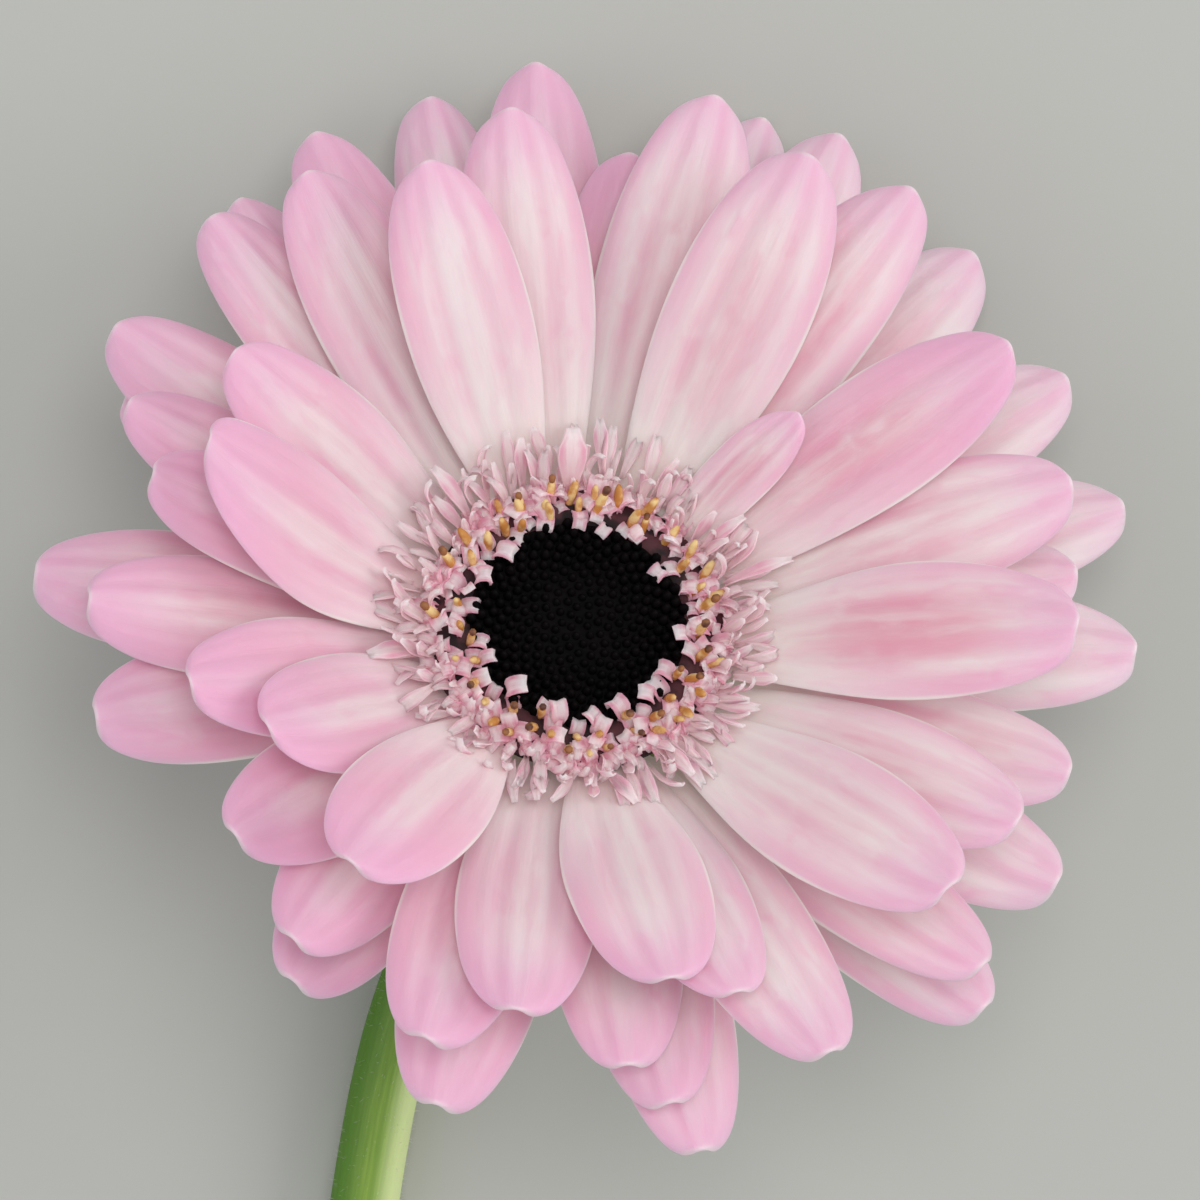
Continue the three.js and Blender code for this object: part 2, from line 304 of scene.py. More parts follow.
heart = sum_node(tissue, "MULTIPLY", heart_side, heart_length)
heart = sum_node(tissue, "MULTIPLY", heart, start.outputs["Heart"])
heart = sum_node(tissue, "MULTIPLY", heart, ramp_between(tissue, veins, 0.0, 0.65))

foot_share = sum_node(tissue, "DIVIDE", along, start.outputs["Foot length"])
blade_share = ramp_between(tissue, sum_node(tissue, "MULTIPLY_ADD", veins, 0.35, foot_share), 0.10, 1.25)
colour = blend_colours(tissue, blade_share, start.outputs["Foot"], start.outputs["Blade"])
streaks = sum_node(tissue, "MULTIPLY", ramp_between(tissue, veins, 0.44, 0.72), blade_share)
flush = sum_node(tissue, "MULTIPLY_ADD", streaks, 0.24, sum_node(tissue, "MULTIPLY", furrow, 0.34))
flush = sum_node(tissue, "MULTIPLY_ADD", sum_node(tissue, "SUBTRACT", fine_veins, 0.5), 0.18, flush)
flush = sum_node(tissue, "MULTIPLY_ADD", start.outputs["Deep"], 0.4, flush, clamp=True)
colour = blend_colours(tissue, flush, colour, start.outputs["Margin"])
colour = blend_colours(tissue, heart, colour, start.outputs["Blush"])
colour = blend_colours(tissue, margin, colour, start.outputs["Margin"])
colour = blend_colours(tissue, tip, colour, start.outputs["Tip"])
rim = sum_node(
    tissue, "MAXIMUM", ramp_between(tissue, side, 0.94, 0.99),
    sum_node(tissue, "MULTIPLY", ramp_between(tissue, along, 0.985, 1.0), 0.5),
)
rim = sum_node(tissue, "MULTIPLY", rim, 0.75)
colour = blend_colours(tissue, rim, colour, start.outputs["Foot"])
tissue.links.new(colour, end.inputs["Colour"])
height = sum_node(tissue, "MULTIPLY_ADD", fine_veins, 0.5, sum_node(tissue, "MULTIPLY", mottle, 0.3))
height = sum_node(tissue, "MULTIPLY_ADD", veins, 0.5, height)
tissue.links.new(height, end.inputs["Height"])


def petal_material(name, foot, blade, margin_colour, tip_colour, blush, furrows, foot_length, painted_glow=0.05):
    """A floret's material. The depth attribute says how flushed each floret is all over,
    and the heart attribute how flushed it is along its middle; on the ray florets both also
    carry painted shade and painted light, by side. The emission is painted light: the tissue
    gives off a faint light of its own, which stands in for the light that comes through
    tissue this thin from every side."""
    made, tree, shader = new_material(name, 0.55)
    node = use_group(
        tree, tissue, Foot=srgb(*foot), Blade=srgb(*blade), Margin=srgb(*margin_colour),
        Tip=srgb(*tip_colour), Blush=srgb(*blush), Furrows=furrows, Foot_length=foot_length,
        Deep=input_node(tree, "ShaderNodeAttribute", "Fac", attribute_name="depth"),
        Heart=input_node(tree, "ShaderNodeAttribute", "Fac", attribute_name="heart"),
    )
    tree.links.new(node.outputs["Colour"], shader.inputs["Base Color"])
    # Painted light: the tissue's own colour is also given off as a faint light.
    tree.links.new(node.outputs["Colour"], shader.inputs["Emission Color"])
    shader.inputs["Emission Strength"].default_value = painted_glow
    tree.links.new(bump_node(tree, node.outputs["Height"], 0.35, 0.0003), shader.inputs["Normal"])
    shader.inputs["Subsurface Weight"].default_value = 0.75
    shader.inputs["Subsurface Radius"].default_value = (1.0, 0.7, 0.75)
    shader.inputs["Subsurface Scale"].default_value = 0.0018
    shader.inputs["Specular IOR Level"].default_value = 0.25
    shader.inputs["Sheen Weight"].default_value = 0.15
    shader.inputs["Sheen Roughness"].default_value = 0.5
    return made


ray_material = petal_material(
    "ray floret", foot=(231, 224, 215), blade=(230, 216, 216), margin_colour=(225, 163, 186),
    tip_colour=(226, 170, 198), blush=(212, 130, 152), furrows=1.0, foot_length=0.6,
)
RAY_FURROW = 0.26 * MM
RAY_FURROW_PLACE = 0.36  # from the middle, as a share of the half width
RAY_CREASE = 0.10 * MM  # along the middle
RAY_SWEEP = 1.6 * MM  # how far a tip may bend sideways
RAY_CURL = (-0.9 * MM, 0.5 * MM)  # how far a tip may droop or rise
RAY_TWIST = 0.7 * MM
RAY_RIPPLE = 0.22 * MM
RAY_EDGE_DROP = 0.25 * MM
RAY_NOTCHES = (0.0, 0.0, 0.0, 0.22 * MM)
RAY_STATIONS = 40  # along a floret, where its margins are read
RAY_CLAW = 2.5 * MM  # the length of the foot that shows which way a floret points
RAY_LEVELS = 3
RAY_LAYERS = 7
# The side away from the strongest lamp. Its florets are drawn pinker, partly their own flush and partly
# painted shade.
SHADED_AND_FLUSHED_SIDE = (-camera_right - camera_up * 0.35).normalized()
FLUSHED_FLORETS = {"ray_6_02": 0.4, "ray_5_05": 0.15, "ray_3_02": 0.5, "ray_2_04": 0.4, "ray_2_05": 0.3}


def bell(value, centre, width):
    """1 at the centre, falling smoothly to 0 a few widths away."""
    return math.exp(-(((value - centre) / width) ** 2))


def smooth_step(value, low, high):
    share = min(max((value - low) / (high - low), 0), 1)
    return share * share * (3 - 2 * share)


def subdivided(bm, name, levels):
    """The bmesh as a smooth object, subdivided and with its modifier applied."""
    mesh = bpy.data.meshes.new(name)
    bm.to_mesh(mesh)
    bm.free()
    piece = bpy.data.objects.new(name, mesh)
    scene.collection.objects.link(piece)
    bpy.context.view_layer.objects.active = piece
    piece.select_set(True)
    modifier = piece.modifiers.new("smooth", "SUBSURF")
    modifier.levels = modifier.render_levels = levels
    bpy.ops.object.modifier_apply(modifier="smooth")
    bpy.ops.object.shade_smooth()
    piece.select_set(False)
    return piece


def smoothed(values, furthest):
    """The furthest of each value and its two neighbours, and then their running mean."""
    last = len(values) - 1
    held = [furthest(values[max(i - 1, 0):i + 2]) for i in range(last + 1)]
    return [(held[max(i - 1, 0)] + held[i] * 2 + held[min(i + 1, last)]) / 4 for i in range(last + 1)]


def margins(places, bins):
    """The offsets of a strap's two margins near each share of its length, from its
    vertices' shares and offsets."""
    low, high = [0.0] * (bins + 1), [0.0] * (bins + 1)
    seen = [False] * (bins + 1)
    for share, off in places:
        i = round(share * bins)
        low[i] = min(low[i], off) if seen[i] else off
        high[i] = max(high[i], off) if seen[i] else off
        seen[i] = True
    for i in range(1, bins + 1):
        if not seen[i]:
            low[i], high[i] = low[i - 1], high[i - 1]
    return smoothed(low, min), smoothed(high, max)


def write_strap_map(mesh, places):
    """The map named strap, from each vertex's place across and along."""
    layer = mesh.uv_layers.new(name="strap")
    for loop in mesh.loops:
        across_share, along_share = places[loop.vertex_index]
        layer.data[loop.index].uv = (across_share * 0.5 + 0.5, along_share)


def write_flush(mesh, depths, hearts):
    for name, values in (("depth", depths), ("heart", hearts)):
        attribute = mesh.attributes.new(name, "FLOAT", "POINT")
        attribute.data.foreach_set("value", values)


def ray_shape(piece, spoke, cad_half, rng):
    """Adds furrows, a notched tip and the floret's own bends to a subdivided blade."""
    lateral = AXIS.cross(spoke)
    verts = piece.data.vertices
    reach = [(v.co - HEAD_MIDDLE).dot(spoke) for v in verts]
    off = [(v.co - HEAD_MIDDLE).dot(lateral) for v in verts]
    foot, tip_reach = min(reach), max(reach)
    length = tip_reach - foot
    shares = [(r - foot) / length for r in reach]
    low, high = margins(zip(shares, off), RAY_STATIONS)
    full = max(b - a for a, b in zip(low, high)) / 2
    restore = cad_half / full  # subdividing drew the margins in
    sweep = rng.uniform(-1, 1) * RAY_SWEEP
    curl = rng.uniform(*RAY_CURL)
    twist = rng.uniform(-1, 1) * RAY_TWIST
    wave = rng.uniform(0, math.tau)
    waves = rng.uniform(1.2, 2.2)
    skew = rng.uniform(-0.05, 0.05)
    notch_depth = rng.choice(RAY_NOTCHES)
    notch_place = rng.uniform(-0.4, 0.4)
    places = []
    for v, share, w in zip(verts, shares, off):
        i = min(int(share * RAY_STATIONS), RAY_STATIONS - 1)
        part = share * RAY_STATIONS - i
        right = low[i] * (1 - part) + low[i + 1] * part
        left = high[i] * (1 - part) + high[i + 1] * part
        middle = (left + right) / 2
        half = max((left - right) / 2, full * 0.10)
        s = max(min((w - middle) / half, 1), -1)
        places.append((s, share))
        blade = smooth_step(share, 0.05, 0.3) * (1 - smooth_step(share, 0.86, 1.0))
        dip = bell(abs(s), RAY_FURROW_PLACE + skew, 0.13) * RAY_FURROW
        dip += bell(s, skew, 0.07) * RAY_CREASE + bell(abs(s), 0.72, 0.09) * RAY_FURROW * 0.4
        ripple = math.sin(wave + share * waves * math.tau) * RAY_RIPPLE * s * abs(s) * blade
        rise = -dip * blade + ripple + twist * s * share
        rise += curl * smooth_step(share, 0.55, 1.0) ** 1.5
        rise -= RAY_EDGE_DROP * smooth_step(abs(s), 0.75, 1.0) * blade
        notch = bell(s, notch_place, 0.3) * notch_depth * smooth_step(share, 0.9, 1.0)
        drift = sweep * share * share + (w - middle) * (restore - 1)
        v.co += AXIS * rise + lateral * drift - spoke * notch
    return places


def flush_of(node, layer, spoke, rng):
    """A floret's flush near its foot, near its tip and along its middle. The florets on the
    side away from the strongest lamp are pinker, the more so in front: partly their own
    flush, partly painted shade. Those across from them are pinker only along their middle,
    and the back ones among them paler, a painted light. Back florets on the shaded side are
    also pinker along their middle, a painted shade under the florets above. A few are
    pinker all over."""
    side = spoke.dot(SHADED_AND_FLUSHED_SIDE)
    pink, pale = max(side, 0), max(-side, 0)
    back = 1 - layer / RAY_LAYERS
    extra = FLUSHED_FLORETS.get(node, 0) + rng.uniform(-0.06, 0.06)
    near_foot = 0.25 + 0.55 * pink - 0.40 * back * pale + extra
    near_tip = 0.10 + (0.7 - 0.6 * back) * pink - 0.45 * back * pale + extra
    middle = rng.uniform(0.0, 0.2) + rng.uniform(0.3, 0.55) * smooth_step(pale, 0.0, 0.9)
    middle += 0.3 * back * pink
    return near_foot, near_tip, middle


def make_ray(node, layer):
    rng = random.Random(node)
    bm = merged_copy(node)
    bmesh.ops.join_triangles(bm, faces=bm.faces, angle_face_threshold=3.2, angle_shape_threshold=3.2)
    bmesh.ops.recalc_face_normals(bm, faces=bm.faces)
    flat = [v.co - HEAD_MIDDLE - AXIS * height_of(v.co) for v in bm.verts]
    nearest = min(p.length for p in flat)
    spoke = sum((p for p in flat if p.length < nearest + RAY_CLAW), Vector()).normalized()
    lateral = AXIS.cross(spoke)
    reaches = [(v.co - HEAD_MIDDLE).dot(spoke) for v in bm.verts]
    offs = [(v.co - HEAD_MIDDLE).dot(lateral) for v in bm.verts]
    foot, length = min(reaches), max(reaches) - min(reaches)
    low, high = margins([((a - foot) / length, b) for a, b in zip(reaches, offs)], 8)
    cad_half = max(b - a for a, b in zip(low, high)) / 2
    ray = subdivided(bm, "petal_" + node, RAY_LEVELS)
    places = ray_shape(ray, spoke, cad_half, rng)
    write_strap_map(ray.data, places)
    near_foot, near_tip, heart = flush_of(node, layer, spoke, rng)
    depths = [near_foot + (near_tip - near_foot) * smooth_step(share, 0.35, 0.8) for _, share in places]
    write_flush(ray.data, depths, [heart] * len(places))
    ray.data.materials.append(ray_material)
    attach(ray, "root")
    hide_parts(node)


for ray_node in sorted(n for n in nodes if n.startswith("ray_")):
    make_ray(ray_node, int(ray_node.split("_")[1]))


# ---- Trans florets ----
# The pale fringe between the disc and the ray florets: about 270 short straps in five
# close rings, upright next to the disc and lying outwards further out, with their tips
# curled. Each is thin petal tissue, and a few are flushed or longer than the rest.


def strap_object(name, length, width, outline, bend_at, thickness, cells=7, trough=0.12):
    """A thin closed strap whose foot is at the origin, growing along Y and bending about
    X. outline(share) is its share of the width, and bend_at(share) its slope there."""
    bpy.ops.mesh.primitive_grid_add(x_subdivisions=2, y_subdivisions=cells, size=1)
    strap = bpy.context.object
    strap.name = name
    strap.data.uv_layers[0].name = "strap"
    stations = [Vector((0, 0, 0))]
    step = length / cells
    for i in range(cells):
        slope = bend_at((i + 0.5) / cells)
        stations.append(stations[-1] + Vector((0, math.cos(slope), math.sin(slope))) * step)
    for v in strap.data.vertices:
        share = v.co.y + 0.5
        centre = stations[round(share * cells)]
        slope = bend_at(share)
        s = v.co.x * 2
        up = Vector((0, -math.sin(slope), math.cos(slope)))
        v.co = centre + Vector((s * width / 2 * outline(share), 0, 0)) + up * (s * s * trough * width)
    modifier = strap.modifiers.new("wall", "SOLIDIFY")
    modifier.thickness = thickness
    modifier.offset = 0
    bpy.ops.object.modifier_apply(modifier="wall")
    strap.select_set(False)
    return strap


class Bunch:
    """Collects copies of small shapes in one mesh, each at its own place."""

    def __init__(self):
        self.bm = bmesh.new()
        self.depth = self.bm.verts.layers.float.new("depth")

    def add(self, template, matrix, finish=0, flush=0.0):
        known = len(self.bm.verts), len(self.bm.faces)
        self.bm.from_mesh(template.data)
        self.bm.verts.ensure_lookup_table()
        self.bm.faces.ensure_lookup_table()
        for v in self.bm.verts[known[0]:]:
            v.co = matrix @ v.co
            v[self.depth] = flush
        for face in self.bm.faces[known[1]:]:
            face.material_index = finish
            face.smooth = True

    def make(self, name, *materials):
        mesh = bpy.data.meshes.new(name)
        self.bm.to_mesh(mesh)
        self.bm.free()
        piece = bpy.data.objects.new(name, mesh)
        scene.collection.objects.link(piece)
        for material in materials:
            mesh.materials.append(material)
        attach(piece, "root")
        return piece


def drop_templates(*templates):
    for template in templates:
        bpy.data.objects.remove(template)


def standing(radius, azimuth, height, slope, roll=0.0, yaw=0.0, size=1.0):
    """The place of a shape that grows along its own Y, at a point on the head: slope is
    the angle of Y above the head's plane, outwards, and roll turns it about Y."""
    outward = FORWARD * math.cos(azimuth + yaw) + LEFT * math.sin(azimuth + yaw)
    grow = outward * math.cos(slope) + AXIS * math.sin(slope)
    back = AXIS * math.cos(slope) - outward * math.sin(slope)
    basis = Matrix((grow.cross(back), grow, back)).transposed()
    basis = Matrix.Rotation(roll, 3, grow) @ basis
    return Matrix.Translation(on_head(radius, azimuth, height)) @ (basis * size).to_4x4()


# The fringe gives off a stronger painted light of its own.
fringe_material = petal_material(
    "trans floret", foot=(224, 182, 186), blade=(238, 208, 209), margin_colour=(208, 122, 150),
    tip_colour=(238, 220, 221), blush=(200, 110, 136), furrows=0.0, foot_length=0.7, painted_glow=0.09,
)


def radius_range(node):
    flat = [v.co - HEAD_MIDDLE for v in nodes[node].data.vertices]
    radii = [(p - AXIS * p.dot(AXIS)).length for p in flat]
    return min(radii), max(radii)


TRANS_IN, TRANS_OUT = radius_range("trans_florets")
TRANS_FLOOR = height_range("trans_florets")[0]
TRANS_WALL = 0.14 * MM
TRANS_RISE = 0.5  # the fringe's floor rises outwards by this much of its run
TRANS_RINGS = [
    # share of the fringe's width, how many, slope in degrees, size
    (0.00, 44, 74, 0.66),
    (0.11, 52, 64, 0.78),
    (0.22, 58, 52, 0.86),
    (0.34, 58, 41, 0.92),
    (0.46, 54, 30, 0.94),
]
STRAY_STRAPS = [
    # azimuth in degrees, share of the fringe's width, slope, size across, size along, flush
    (20, 0.25, 68, 2.1, 1.35, 0.30),
    (-55, 0.42, 34, 0.9, 1.35, 1.0),
    (-39, 0.30, 50, 0.9, 1.1, 0.7),
    (62, 0.42, 48, 1.2, 1.15, 0.6),
    (-128, 0.40, 30, 1.1, 1.1, 0.8),
    (120, 0.38, 30, 1.4, 1.2, 0.5),
]


def trans_outline(share):
    tip = 1 - 0.55 * smooth_step(share, 0.65, 1.0)
    return (0.4 + 0.6 * smooth_step(share, 0, 0.65)) * tip


def curling(start_slope, end_slope, late=1.6):
    """A slope that changes from foot to tip, from degrees, mostly near the tip."""
    return lambda share: math.radians(start_slope + (end_slope - start_slope) * share ** late)


trans_templates = [
    strap_object(f"trans_{i}", 5.2 * MM, 1.35 * MM, trans_outline, curling(*bends), TRANS_WALL, trough=0.2)
    for i, bends in enumerate([(0, -50), (4, -95, 2.2), (-6, 42), (6, -170, 2.6), (0, 12), (0, 110, 2.4)])
]
rng = random.Random(11)
fringe = Bunch()
fringe_width = TRANS_OUT - TRANS_IN
for ring_share, count, slope, size in TRANS_RINGS:
    run = ring_share * fringe_width
    for i in range(count):
        fringe.add(
            rng.choice(trans_templates),
            standing(
                TRANS_IN + 0.6 * MM + run + rng.uniform(-0.4, 0.4) * MM,
                (i + rng.uniform(-0.35, 0.35) + ring_share * 7) / count * math.tau,
                TRANS_FLOOR - 0.3 * MM + (run + rng.uniform(-0.6, 0.6) * MM) * TRANS_RISE,
                math.radians(slope + rng.uniform(-11, 11)),
                roll=rng.uniform(-0.8, 0.8),
                yaw=rng.uniform(-0.35, 0.35),
                size=size * rng.uniform(0.72, 1.15),
            ),
            flush=max(rng.uniform(-0.9, 0.9), rng.uniform(0, 0.1)),
        )
for azimuth, ring_share, slope, wide, long, flush in STRAY_STRAPS:
    place = standing(
        TRANS_IN + ring_share * fringe_width, math.radians(azimuth),
        TRANS_FLOOR + ring_share * fringe_width * TRANS_RISE, math.radians(slope),
    )
    fringe.add(trans_templates[0], place @ Matrix.Diagonal((wide, long, 1.2, 1)), flush=flush)
fringe_piece = fringe.make("fringe", fringe_material)
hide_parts("trans_florets")
drop_templates(*trans_templates)


# ---- Open disc florets ----
# The rings that are in flower: each floret is a short tube with curled pink lobes, most
# of them round a golden column of anthers. The inner lobes lean over the dark middle, and
# the outer ones mix with the fringe. They stand close together on a dark bed.

# The lobes give off the strongest painted light of their own.
lobe_material = petal_material(
    "floret lobe", foot=(210, 130, 150), blade=(244, 208, 214), margin_colour=(208, 104, 134),
    tip_colour=(244, 222, 226), blush=(190, 90, 120), furrows=0.0, foot_length=0.6, painted_glow=0.14,
)


def grained_material(name, first, second, scale, roughness):
    """A matt material that wanders between two colours."""
    made, tree, shader = new_material(name, roughness)
    grain = noise_node(tree, input_node(tree, "ShaderNodeTexCoord", "Object"), scale, 3)
    colour = blend_colours(tree, ramp_between(tree, grain, 0.38, 0.62), srgb(*first), srgb(*second))
    tree.links.new(colour, shader.inputs["Base Color"])
    tree.links.new(bump_node(tree, grain, 0.3, 0.0002), shader.inputs["Normal"])
    return made


anther_material = grained_material("anthers", (194, 130, 58), (232, 200, 138), 700, 0.6)
anther_tip_material = grained_material("anther tip", (84, 46, 32), (150, 96, 52), 700, 0.6)
bed_material = grained_material("floret bed", (26, 13, 16), (84, 44, 50), 500, 0.8)

FLORET_IN, FLORET_OUT = radius_range("disc_florets")
FLORET_FLOOR = height_range("disc_florets")[0]
LOBE_WALL = 0.15 * MM
FLORET_RINGS = [
    # radius, how many, slope in degrees, foot height, share with anthers, lobes, lobes' flush
    (FLORET_IN + 0.3 * MM, 21, 88, 1.9 * MM, 0.35, 1, 0.05),
    (FLORET_IN + 1.2 * MM, 30, 78, 1.0 * MM, 0.95, 2, 0.15),
    (FLORET_IN + 2.3 * MM, 36, 66, 0.8 * MM, 0.60, 3, 0.45),
    (FLORET_IN + 3.3 * MM, 42, 54, 0.9 * MM, 0.0, 4, 0.30),
]


def lobe_outline(share):
    return 0.55 + 0.45 * smooth_step(share, 0, 0.45) - 0.10 * smooth_step(share, 0.85, 1.0)


lobe_templates = [
    strap_object(f"lobe_{i}", 3.2 * MM, 1.75 * MM, lobe_outline, curling(*bends), LOBE_WALL, trough=0.14)
    for i, bends in enumerate([(0, -170, 2.0), (0, -240, 2.2), (5, 120, 2.0), (0, -120, 1.8)])
]


def anther_column(name, length, radius, bend):
    """A column of joined anthers along Y, widest above its foot and pinched at its tip."""
    bpy.ops.mesh.primitive_cylinder_add(
        vertices=7, radius=radius, depth=length, location=(0, length / 2, 0), rotation=(math.pi / 2, 0, 0),
    )
    column = bpy.context.object
    column.name = name
    bpy.ops.object.transform_apply(location=True, rotation=True)
    bpy.ops.object.mode_set(mode="EDIT")
    for share in (0.3, 0.6, 0.85):
        bpy.ops.mesh.select_all(action="SELECT")
        bpy.ops.mesh.bisect(plane_co=(0, length * share, 0), plane_no=(0, 1, 0))
    bpy.ops.object.mode_set(mode="OBJECT")
    for v in column.data.vertices:
        share = v.co.y / length
        thin = 0.6 + 0.5 * math.sin(share * 2.6) - 0.35 * smooth_step(share, 0.8, 1.0)
        v.co.x *= thin
        v.co.z = v.co.z * thin - bend * share * share
    column.select_set(False)
    return column


column_template = anther_column("column", 3.1 * MM, 0.42 * MM, 0.5 * MM)
tip_template = anther_column("column_tip", 1.0 * MM, 0.36 * MM, 0.1 * MM)
rng = random.Random(5)
open_florets = Bunch()
for ring, (radius, count, lean_slope, foot_height, with_anthers, lobes, flush) in enumerate(FLORET_RINGS):
    for i in range(count):
        azimuth = (i + 0.5 * ring + rng.uniform(-0.3, 0.3)) / count * math.tau
        radius_here = radius + rng.uniform(-0.35, 0.35) * MM
        height = FLORET_FLOOR + foot_height + rng.uniform(-0.35, 0.35) * MM
        slope = math.radians(lean_slope + rng.uniform(-15, 15))
        yaw = rng.uniform(-0.45, 0.45)
        if rng.random() < with_anthers:
            place = standing(radius_here, azimuth, height, slope, yaw=yaw, size=rng.uniform(0.8, 1.1))
            open_florets.add(column_template, place, 1)
            if rng.random() < 0.45:
                open_florets.add(tip_template, place @ Matrix.Translation((0, 2.7 * MM, -0.42 * MM)), 2)
        for lobe in range(lobes):
            turn = (lobe / lobes + 0.5 * (ring == 0)) * math.tau + rng.uniform(-0.5, 0.5)
            open_florets.add(
                rng.choice(lobe_templates),
                standing(
                    radius_here + 0.3 * MM * math.cos(turn), azimuth, height - 0.2 * MM,
                    slope + rng.uniform(-0.25, 0.25), roll=turn, yaw=yaw + rng.uniform(-0.3, 0.3),
                    size=rng.uniform(0.7, 1.05) * (0.75 if ring == 3 else 1.0),
                ),
                flush=flush + rng.uniform(-0.15, 0.35),
            )
open_piece = open_florets.make("open_florets", lobe_material, anther_material, anther_tip_material)
drop_templates(column_template, tip_template, *lobe_templates)

# The bed is a dark ring turned round the axis under the florets' feet.
to_head = Matrix((FORWARD, LEFT, AXIS)).transposed().to_4x4()


def turned_piece(name, profile, segments, material):
    """A closed ring round the flower's axis, from radius and height pairs."""
    bm = bmesh.new()
    rings = []
    for k in range(segments):
        azimuth = k / segments * math.tau
        rings.append([bm.verts.new(on_head(radius, azimuth, height)) for radius, height in profile])
    for k, ring in enumerate(rings):
        beside = rings[(k + 1) % segments]
        for j in range(len(profile)):
            following = (j + 1) % len(profile)
            bm.faces.new((ring[j], beside[j], beside[following], ring[following])).smooth = True
    bmesh.ops.recalc_face_normals(bm, faces=bm.faces)
    mesh = bpy.data.meshes.new(name)
    bm.to_mesh(mesh)
    bm.free()
    piece = bpy.data.objects.new(name, mesh)
    scene.collection.objects.link(piece)
    mesh.materials.append(material)
    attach(piece, "root")
    return piece


bed_out = FLORET_OUT + 2.2 * MM
bed = turned_piece("floret_bed", [
    (FLORET_IN - 0.6 * MM, FLORET_FLOOR + 0.1 * MM), (bed_out, FLORET_FLOOR + 0.1 * MM),
    (bed_out, FLORET_FLOOR + 1.0 * MM), (FLORET_IN + 1.5 * MM, FLORET_FLOOR + 1.7 * MM),
    (FLORET_IN - 0.6 * MM, FLORET_FLOOR + 1.5 * MM),
], 64, bed_material)
for piece in (open_piece, bed):
    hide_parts("disc_florets")


# ---- Disc buds ----
# The dark eye: closed buds packed in two sets of spirals, as a daisy packs them, smaller
# and flatter towards the middle. They are nearly black, with a low sheen.

bud_material, bud_tree, bud_shader = new_material("disc bud", 0.6)
bud_place = input_node(bud_tree, "ShaderNodeTexCoord", "Object")
bud_mix = ramp_between(bud_tree, noise_node(bud_tree, bud_place, 420, 3), 0.35, 0.7)
bud_colour = blend_colours(bud_tree, bud_mix, srgb(4, 3, 3), srgb(10, 6, 7))
bud_tree.links.new(bud_colour, bud_shader.inputs["Base Color"])
bud_tree.links.new(
    bump_node(bud_tree, noise_node(bud_tree, bud_place, 2600, 2), 0.4, 0.0001), bud_shader.inputs["Normal"]
)
bud_shader.inputs["Specular IOR Level"].default_value = 0.06

BUD_LENGTH = 1.5 * MM
bpy.ops.mesh.primitive_uv_sphere_add(segments=7, ring_count=5, radius=0.5)
bud_template = bpy.context.object
for v in bud_template.data.vertices:
    point = smooth_step(v.co.z, -0.1, 0.5)
    v.co.x *= 1 - 0.35 * point
    v.co.y *= 1 - 0.35 * point
bud_template.select_set(False)
DISC_EDGE = radius_range("disc_buds")[1] + 0.4 * MM
BUDS = 300
GOLDEN_ANGLE = math.pi * (3 - math.sqrt(5))
rng = random.Random(3)
buds = Bunch()
for i in range(BUDS):
    share = math.sqrt((i + 0.5) / BUDS)
    radius = share * DISC_EDGE
    width = (0.98 + 0.20 * share) * MM
    dome = DISC_TOP - 1.1 * MM + 0.5 * MM * smooth_step(share, 0.3, 0.95) + rng.uniform(-0.08, 0.08) * MM
    outward = FORWARD * math.cos(i * GOLDEN_ANGLE) + LEFT * math.sin(i * GOLDEN_ANGLE)
    up = (AXIS + outward * 0.25 * (share - 0.4)).normalized()
    beside = LEFT.cross(up)
    basis = Matrix((beside.cross(up) * -width, beside * width, up * BUD_LENGTH)).transposed()
    buds.add(bud_template, Matrix.Translation(on_head(radius, i * GOLDEN_ANGLE, dome)) @ basis.to_4x4())
bud_piece = buds.make("bud_eye", bud_material)
drop_templates(bud_template)

# The buds stand on a low dark cushion, which closes the gaps between them.
bpy.ops.mesh.primitive_cylinder_add(vertices=48, radius=DISC_EDGE, depth=DISC_TOP - DISC_FLOOR - 1.0 * MM)
cushion = bpy.context.object
cushion.name = "bud_cushion"
cushion_middle = (DISC_TOP + DISC_FLOOR) / 2 - 0.5 * MM
cushion.data.transform(Matrix.Translation(on_head(0, 0, cushion_middle)) @ to_head)
cushion.data.materials.append(bud_material)
cushion.select_set(False)
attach(cushion, "root")
for piece in (bud_piece, cushion):
    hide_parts("disc_buds")


# ---- Stem ----
# One leafless green scape, faintly ribbed along its length and covered in short white
# hairs. It swells a little under the head, and its far end is a plain knife cut through
# the green skin and the pale pith. One side of its skin is painted light and the side
# across from it painted shade.

stem_material, stem_tree, stem_shader = new_material("stem skin", 0.5)
stem_uv = input_node(stem_tree, "ShaderNodeUVMap", 0, uv_map="strap")
stem_split = stem_tree.nodes.new("ShaderNodeSeparateXYZ")
stem_tree.links.new(stem_uv, stem_split.inputs[0])
stem_place = input_node(stem_tree, "ShaderNodeTexCoord", "Object")
rib_place = stem_tree.nodes.new("ShaderNodeCombineXYZ")
stem_tree.links.new(sum_node(stem_tree, "MULTIPLY", stem_split.outputs[0], 60.0), rib_place.inputs[0])
stem_tree.links.new(sum_node(stem_tree, "MULTIPLY", stem_split.outputs[1], 9.0), rib_place.inputs[1])
ribs = noise_node(stem_tree, rib_place.outputs[0], 1.0, 3, 0.55)
stem_blotch = noise_node(stem_tree, stem_place, 60, 3)
stem_colour = blend_colours(
    stem_tree, ramp_between(stem_tree, ribs, 0.35, 0.7), srgb(106, 144, 44), srgb(128, 164, 60)
)
stem_colour = blend_colours(
    stem_tree, sum_node(stem_tree, "MULTIPLY", ramp_between(stem_tree, stem_blotch, 0.45, 0.75), 0.3),
    stem_colour, srgb(150, 178, 72),
)
